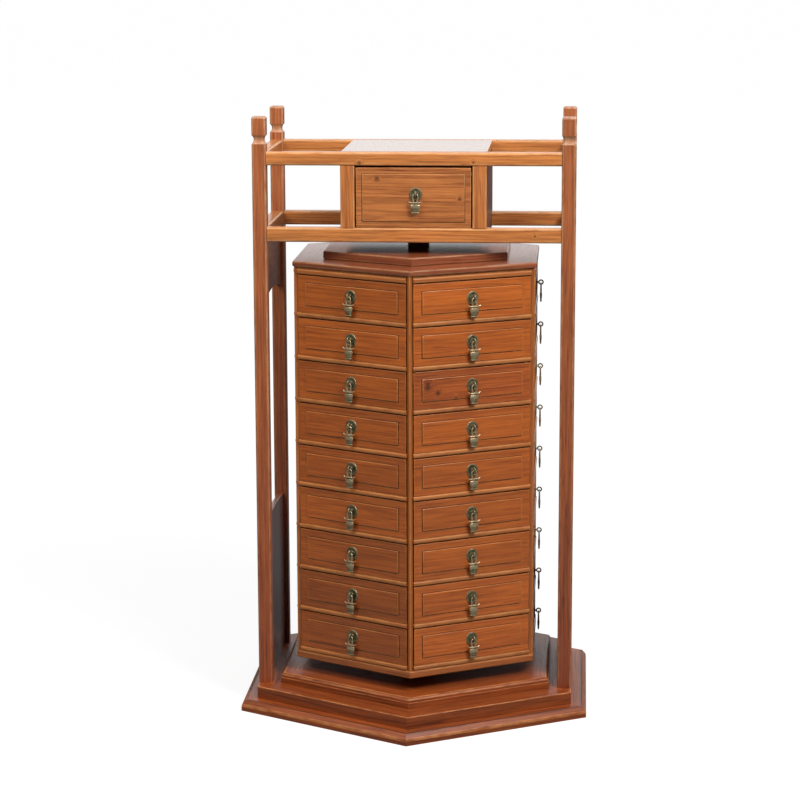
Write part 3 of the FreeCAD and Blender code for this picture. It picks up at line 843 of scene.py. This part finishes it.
def fieldedFront(low, high, backHalf, sideMargin, endMargin, wood=frontWood):  # low and high are corners, facing +X
    groove, depth, arris, worn = (drawer[name] for name in ("groove", "grooveDepth", "arris", "worn"))
    face, half, tall, middle = high[0], high[1], (high[2] - low[2]) / 2, (low[2] + high[2]) / 2
    tip = face + drawer["fieldRise"]
    front = boardBox(low, high)
    stretch(front, lambda p: p.x < (low[0] + face) / 2, (1, backHalf / half, 1))
    roundEdges(front, arris, edgesAt(face))
    # the groove: an inset sized to the margin's inner edge, a sloping wall, then the bottom under the field
    y, height, first = half - sideMargin, tall - endMargin, 1 * mm
    choose(front, "FACE", lambda c, n: n.x > square and near(c.y, 0) and near(c.z, middle))
    bpy.ops.mesh.inset(thickness=first, depth=0)
    growth = (1, (y + groove) / (half - arris - first), (height + groove) / (tall - arris - first))
    bpy.ops.transform.resize(value=growth, center_override=(face, 0, middle))
    bpy.ops.mesh.inset(thickness=drawer["grooveWall"], depth=-depth)
    leaveEditing()
    grain(front, 1, worn)
    deep = lambda c: (face - c.x) / depth
    # old polish and painted shade on the groove's floor, then a painted highlight on its sloping walls
    mark(front, drawer["grooveGrimeAndShade"], lambda c, n: deep(c) > drawer["grooveFloor"] and n.x > square)
    mark(front, drawer["grooveHighlight"], lambda c, n: between(deep(c), drawer["highlightDepth"])
         and between(n.x, drawer["highlightLean"]) and abs(c.y) < y + groove)
    field = boardBox((face - drawer["fieldRoot"], -y, middle - height), (tip, y, middle + height))
    roundEdges(field, drawer["fieldBevel"], edgesAt(tip))
    grain(field, 1, worn)
    # old polish and painted shade on the field's sides
    mark(field, drawer["grooveGrimeAndShade"], lambda c, n: near(n.x, 0, 0.1))
    whole = joined([front, field])
    oneBoard(whole, 1)  # margin and field share a tree
    return paint(whole, wood)


def minus(line):
    return lambda reach: -line(reach)


def wedge(x0, x1, right, left, low, high):  # a board between two lines that give y at each reach
    board = boardBox((x0, 0, low), (x1, 1, high))
    for vertex in board.data.vertices:
        line = right if vertex.co.y < 0.5 else left
        vertex.co.y = line(x0 if near(vertex.co.x, x0) else x1)
    return board


def makeDrawerModel():  # at height 0, facing +X
    outside = lambda reach: reach * slope - (case["partitionHalf"] + drawer["gap"]) / steep
    inside = lambda reach: outside(reach) - drawer["wall"] / steep
    face, low, inner, half = drawer["face"], drawer["restGap"], drawer["innerReach"], drawer["frontHalf"]
    back, behind = face - drawer["frontThickness"], inner + drawer["wall"]
    top, floor = low + drawer["sideHeight"], low + drawer["floorLift"]
    corner = (face, half, low + drawer["height"])
    parts = [fieldedFront((back, -half, low), corner, outside(back), drawer["fieldSide"], drawer["fieldEnd"])]
    for board, run, slant in (
        (wedge(inner, back, minus(outside), minus(inside), low, top), 0, -30),
        (wedge(inner, back, inside, outside, low, top), 0, 30),
        (wedge(inner, behind, minus(inside), inside, low, top), 1, 0),
        (wedge(behind, back, minus(inside), inside, floor, floor + drawer["floorThickness"]), 1, 0),
    ):
        roundEdges(board, drawer["insideRound"], segments=1)
        parts.append(paint(grain(board, run, drawer["insideWorn"], slant), innerWood))
    whole = joined(parts)
    smooth(whole)
    return whole


# the pulls

pull = dict(
    sizes(standOff=9.7, eyeRadius=4.85, eyeWire=1.6, stem=1.7, plateReach=13, plateDrop=3, core=9.5),
    lobes=14,
    lobeDepth=0.05,
    lobeBlunt=0.7,  # less than 1 makes the scallops rounder
    plateWide=1.04,
    plateTall=1.14,
    plateSteps=3,  # for each lobe
    stemRoot=1.9,  # how much wider the stem is where it leaves the rosette
    bellSteps=18,
    flat=0.25,
    round=50,
    coreShade=0.72,
    rimShade=0.42,
    eyeShade=0.25,
    wireShade=-0.2,
    aside=sizes(left=0, right=-1.5, frieze=5),  # fitted by hand, so not quite centred
)
# (radius, X) and (half width, Z) in mm, as turned on the lathe
plateProfile = [(0, 1.9), (3.5, 1.7), (6.5, 0.8), (9, 0.5), (10, 0.8), (11, 1.6), (12.6, 1.8), (13.8, 1.2), (14.2, 0)]
bellProfile = [
    (0, -20), (4.6, -20), (4.2, -22), (4.4, -23.4), (7.4, -24.2), (9.8, -25.4), (10.7, -27.4), (10.6, -29.6),
    (10.0, -33), (9.0, -36.6), (8, -39.2), (7, -40.2), (7, -41), (8.4, -41.8), (8.5, -43), (7.8, -43.8),
    (5.4, -44.4), (5.2, -45.6), (0, -45.8),
]
# (lowest Z, shade) of the bell in mm: dark at the neck and waist as patina in the hollows, with a painted highlight
# on the shoulder and the foot
bellShadeAndHighlight = [(-24.3, 0.85), (-30, -0.45), (-40, 0.28), (-41.2, 0.85), (-44, -0.45), (-50, 0.85)]
# (Y, Z, radius) in mm along half of the link and of the winged crosspiece
linkRoute = [
    (-4.2, -19.6, 1.925), (-5.712, -10.75, 1.75), (-5.936, -5.95, 1.575), (-4.48, -2.05, 1.25),
    (-1.568, -1.75, 1.25),
]
wingRoute = [(15, -17.4, 1.2), (13.95, -19.2, 1.7), (10.5, -20.8, 1.9), (5.25, -20.9, 2.2), (0, -20.6, 2.3)]


def lathe(profile, steps):  # an open line of points, spun about Z
    rod = added(bpy.ops.mesh.primitive_circle_add, vertices=len(profile), radius=1)
    for vertex, (reach, height) in zip(rod.data.vertices, profile):
        vertex.co = (reach * mm, 0, height * mm)
    ends = [rod.data.vertices[i].co.copy() for i in (0, -1)]
    choose(rod, "EDGE", lambda a, b: a in ends and b in ends)
    bpy.ops.mesh.delete(type="EDGE")
    bpy.ops.mesh.select_all(action="SELECT")
    bpy.ops.mesh.spin(steps=steps, angle=2 * math.pi, center=(0, 0, 0), axis=(0, 0, 1))
    bpy.ops.mesh.select_all(action="SELECT")
    bpy.ops.mesh.remove_doubles(threshold=0.02 * mm)
    bpy.ops.mesh.normals_make_consistent(inside=False)
    leaveEditing()
    return rod


# the hollow value darkens and greens the brass as patina; below 0 it pales it, as rubbing on the link and wings, and
# as a painted highlight on the bell
def shadeHollows(piece, amount):
    write(piece.data, "hollow", [amount(vertex.co) for vertex in piece.data.vertices], 1)


def castBrass(parts):
    whole = joined(parts)
    smooth(whole, pull["round"])
    return paint(whole, brass)


def makePlate():  # the rosette, with the eye that stands out from it; X = 0 is the drawer's field
    standOff, ring = pull["standOff"], pull["eyeRadius"]
    plate = lathe(plateProfile, pull["lobes"] * pull["plateSteps"])
    plate.data.transform(Matrix.Rotation(math.radians(90), 4, "Y"))
    for vertex in plate.data.vertices:
        radius = math.hypot(vertex.co.y, vertex.co.z)
        angle = math.atan2(vertex.co.z, vertex.co.y)
        petal = abs(math.cos(angle * pull["lobes"] / 2)) ** pull["lobeBlunt"]
        reach = 1 - pull["lobeDepth"] * (1 - petal) * min(radius / pull["plateReach"], 1)
        vertex.co.y *= reach
        vertex.co.z *= reach
    shadeHollows(plate, lambda p: pull["coreShade" if math.hypot(p.y, p.z) < pull["core"] else "rimShade"])
    stretch(plate, everywhere, (1, pull["plateWide"], pull["plateTall"]))
    shift(plate, everywhere, (0, 0, -pull["plateDrop"]))
    eye = added(
        bpy.ops.mesh.primitive_torus_add, major_radius=ring, minor_radius=pull["eyeWire"], major_segments=22,
        minor_segments=8, location=(standOff, 0, 0), rotation=(math.pi / 2, 0, 0)
    )
    length = standOff - ring
    stem = added(
        bpy.ops.mesh.primitive_cylinder_add, vertices=10, radius=pull["stem"], depth=length,
        location=(length / 2, 0, 0), rotation=(0, math.pi / 2, 0)
    )
    stretch(stem, lambda p: p.x < length / 2, (1, pull["stemRoot"], pull["stemRoot"]))
    for part in (eye, stem):
        shadeHollows(part, lambda p: pull["eyeShade"])
    return castBrass([plate, eye, stem])


def wire(name, half):  # a rod along the points and radii of one half, and then of the other
    route = half + [(-y, z, radius) for y, z, radius in reversed(half) if y]
    curve = bpy.data.curves.new(name, "CURVE")
    curve.dimensions = "3D"
    curve.resolution_u = 3
    curve.bevel_depth = 1
    curve.bevel_resolution = 2
    curve.use_fill_caps = True
    line = curve.splines.new("NURBS")
    line.points.add(len(route) - 1)
    for spot, (y, z, radius) in zip(line.points, route):
        spot.co = (pull["standOff"], y * mm, z * mm, 1)
        spot.radius = radius * mm
    line.order_u = 3
    line.use_endpoint_u = True
    rod = bpy.data.objects.new(name, curve)
    scene.collection.objects.link(rod)
    pick(rod)
    bpy.ops.object.convert(target="MESH")
    rod = bpy.context.object
    shadeHollows(rod, lambda p: pull["wireShade"])
    return rod


def makeDrop():  # link, winged crosspiece, neck and bell, hanging from the eye's centre
    link, wings = wire("link", linkRoute), wire("wings", wingRoute)
    bell = lathe(bellProfile, pull["bellSteps"])
    stretch(bell, everywhere, (pull["flat"], 1, 1))
    shift(bell, everywhere, (pull["standOff"], 0, 0))
    # patina on the bell, with a painted highlight on its shoulder and foot
    shadeHollows(bell, lambda p: next(shade for lowest, shade in bellShadeAndHighlight if p.z / mm > lowest))
    return castBrass([link, wings, bell])


plateModel, dropModel = makePlate(), makeDrop()
print("pulls: the rosette, eye and drop are cast")
drawerModel = makeDrawerModel()
print("drawers: the model drawer is made")


def fitPull(side, row, angle, height, reach):
    tail = f"_{row}" if row else ""
    spot = (angle, height, reach, pull["aside"][side])
    hand(turned(plateModel, *spot), f"{side}Plate{row}", f"{side}_drawer{tail}")
    hand(turned(dropModel, *spot), f"{side}Drop{row}", f"{side}_drop{tail}", f"{side}_drop{tail}")


fieldTip = drawer["face"] + drawer["fieldRise"]
faceTurn = dict(left=240, right=300, sides=(180, 0), back=(120, 60))
oddFronts = dict(rightDrawer3=-0.8, rightDrawer1=1.0, rightDrawer9=0.9)  # darker or paler boards
lowerShade = dict(left=-0.28, right=0)  # painted shade: the left face is a little darker with each row below the third
openings = [drawer["firstOpening"] - drawer["pitch"] * row for row in range(case["rows"])]

for side in ("left", "right"):
    for row, opening in enumerate(openings, start=1):
        wood = turned(drawerModel, faceTurn[side], opening)
        name, node = f"{side}Drawer{row}", f"{side}_drawer_{row}"
        tone, board = read(wood.data, "boardToneAndShade", 1), read(wood.data, "board", 1)
        front = board == board[0]
        # each front's tone, with painted shade on the left face that grows with each row downwards
        tone[front] = oddFronts.get(name, tone[front][0]) + lowerShade[side] * max(row - 3, 0)
        write(wood.data, "boardToneAndShade", tone, 1)
        if name == "rightDrawer3":
            wood.data.materials[0] = knottyWood
        hand(wood, name, node, node)
        fitPull(side, row, faceTurn[side], opening + drawer["eyeRise"], fieldTip)

metal = []
for group, node in (("sides", "side_drawers"), ("back", "back_drawers")):
    woods = []
    for angle in faceTurn[group]:
        for opening in openings:
            woods.append(turned(drawerModel, angle, opening))
            for model in (plateModel, dropModel):
                metal.append(turned(model, angle, opening + drawer["eyeRise"], fieldTip))
    hand(joined(woods), group + "Drawers", "revolving_case", node)
hand(joined(metal), "sideAndBackPulls", "revolving_case", "side_and_back_pulls")
print("drawers: all fifty-four are in the case")

friezeDrawer = sizes(half=128, face=178.2, length=285, height=133.7, sideHeight=110, margin=14, eyeHeight=1189)


def makeFriezeDrawer():
    size, wall = friezeDrawer, drawer["wall"]
    half, face, margin, front = size["half"], size["face"], size["margin"], 270
    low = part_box("frieze_drawer")[0].z
    back = face - drawer["frontThickness"]
    end, top, floor = back - size["length"], low + size["sideHeight"], low + drawer["floorLift"]
    corner = (face, half, low + size["height"])
    parts = [fieldedFront((back, -half, low), corner, half, margin, margin, friezeWood)]
    for corner, opposite, run in (
        ((end, -half, low), (back, -half + wall, top), 0),
        ((end, half - wall, low), (back, half, top), 0),
        ((end, -half + wall, low), (end + wall, half - wall, top), 1),
        ((end + wall, -half + wall, floor), (back, half - wall, floor + drawer["floorThickness"]), 1),
    ):
        board = boardBox(corner, opposite)
        roundEdges(board, drawer["insideRound"], segments=1)
        parts.append(paint(grain(board, run, drawer["insideWorn"]), innerWood))
    model = joined(parts)
    smooth(model)
    hand(turned(model, front), "friezeDrawer", "frieze_drawer", "frieze_drawer")
    bpy.data.objects.remove(model)
    fitPull("frieze", "", front, size["eyeHeight"], face + drawer["fieldRise"])


makeFriezeDrawer()
for model in (drawerModel, plateModel, dropModel):
    bpy.data.objects.remove(model)
print("frieze: its drawer is in")


# floor, light and camera

stage = dict(
    floorSize=120,
    floorHeight=-0.3 * mm,
    floorGlow=0.7,  # the share of the camera's floor that is plain white, so that shadows stay faint
    floorWhite=1.2,
    farWhite=1.32,  # beyond the lamps' reach the floor needs more of its own
    whiteReach=(0.9, 3.5),
    floorSeen=0.7,
    floorBounce=0.22,  # what the floor gives back to the cabinet, as from a dark studio
    skyFill=(0.03, 0.5),
    mirror=(0.04, 1.0),  # what gloss reflects, from in front of the cabinet to behind it
    mirrorReach=(0.1, 0.8),
)


def makeStage():
    leaveEditing()
    bpy.ops.mesh.primitive_plane_add(size=stage["floorSize"], location=(0, 0, stage["floorHeight"]))
    floor = bpy.context.object
    floor.name = "studioFloor"
    material, add = blank("paleStudioFloor")
    seen = add("LightPath", out="Is Camera Ray")
    plain = add("BsdfDiffuse", {"Color": add("Mix", {0: seen, 2: stage["floorBounce"], 3: stage["floorSeen"]})})
    away = add("VectorMath LENGTH", [add("TexCoord", out="Object")], "Value")
    white = add("MapRange", [away, *stage["whiteReach"], stage["floorWhite"], stage["farWhite"]])
    glow = add("Emission", {"Color": (1, 1, 1, 1), "Strength": white})
    share = add("Math MULTIPLY", [seen, stage["floorGlow"]])
    add("OutputMaterial", {"Surface": add("MixShader", [share, plain, glow])})
    floor.data.materials.append(material)

    world = bpy.data.worlds.new("studio")
    scene.world = world
    world.use_nodes = True
    world.node_tree.nodes.clear()
    add = functools.partial(addNode, world.node_tree)
    ray = add("LightPath").node.outputs
    way = add("SeparateXYZ", [add("TexCoord", out="Generated")]).node.outputs
    mirror = add("MapRange", [way["Y"], *stage["mirrorReach"], *stage["mirror"]])
    fill = add("MapRange", [way["Z"], 0, 1, *stage["skyFill"]])
    seen = add("Math MAXIMUM", [ray["Is Camera Ray"], ray["Is Transmission Ray"]])
    strength = add("Mix", {0: ray["Is Glossy Ray"], 2: fill, 3: mirror})
    strength = add("Mix", {0: seen, 2: strength, 3: 1})
    add("OutputWorld", {"Surface": add("Background", {"Color": (1, 1, 1, 1), "Strength": strength})})


lamps = dict(
    softRight=dict(place=(1.9, -2.3, 3.3), size=1.4, power=132),
    softLeft=dict(place=(-2.0, -2.1, 3.0), size=1.3, power=52),
    overhead=dict(place=(0.0, -0.6, 3.6), size=1.8, power=22),
)
lampAim = Vector((0, 0, 1.35))


def makeLights():
    for name, lamp in lamps.items():
        light = bpy.data.lights.new(name, "AREA")
        light.size = lamp["size"]
        light.energy = lamp["power"]
        holder = bpy.data.objects.new(name, light)
        scene.collection.objects.link(holder)
        holder.location = lamp["place"]
        holder.rotation_mode = "QUATERNION"
        holder.rotation_quaternion = (Vector(lamp["place"]) - lampAim).to_track_quat("Z", "Y")


view = dict(
    place=(0.367113, -5.592341, 1.761219), yaw=4.206, pitch=10.841, roll=-0.181, lens=110.38, sensor=36,
    nearest=0.1, farthest=200,
)


def makeCamera():
    yaw, pitch, roll = (
        Matrix.Rotation(math.radians(angle), 3, axis)
        for angle, axis in ((view["yaw"], "Z"), (90 - view["pitch"], "X"), (view["roll"], "Z"))
    )
    lens = bpy.data.cameras.new("studioCamera")
    lens.sensor_width = view["sensor"]
    lens.lens = view["lens"]
    lens.clip_start, lens.clip_end = view["nearest"], view["farthest"]
    camera = bpy.data.objects.new("studioCamera", lens)
    scene.collection.objects.link(camera)
    camera.rotation_mode = "QUATERNION"
    camera.location = view["place"]
    camera.rotation_quaternion = (yaw @ pitch @ roll).to_quaternion()
    scene.camera = camera


makeStage()
makeLights()
makeCamera()
scene.view_settings.view_transform = "Standard"
print("stage: floor, lights and camera are set")

leaveEditing()
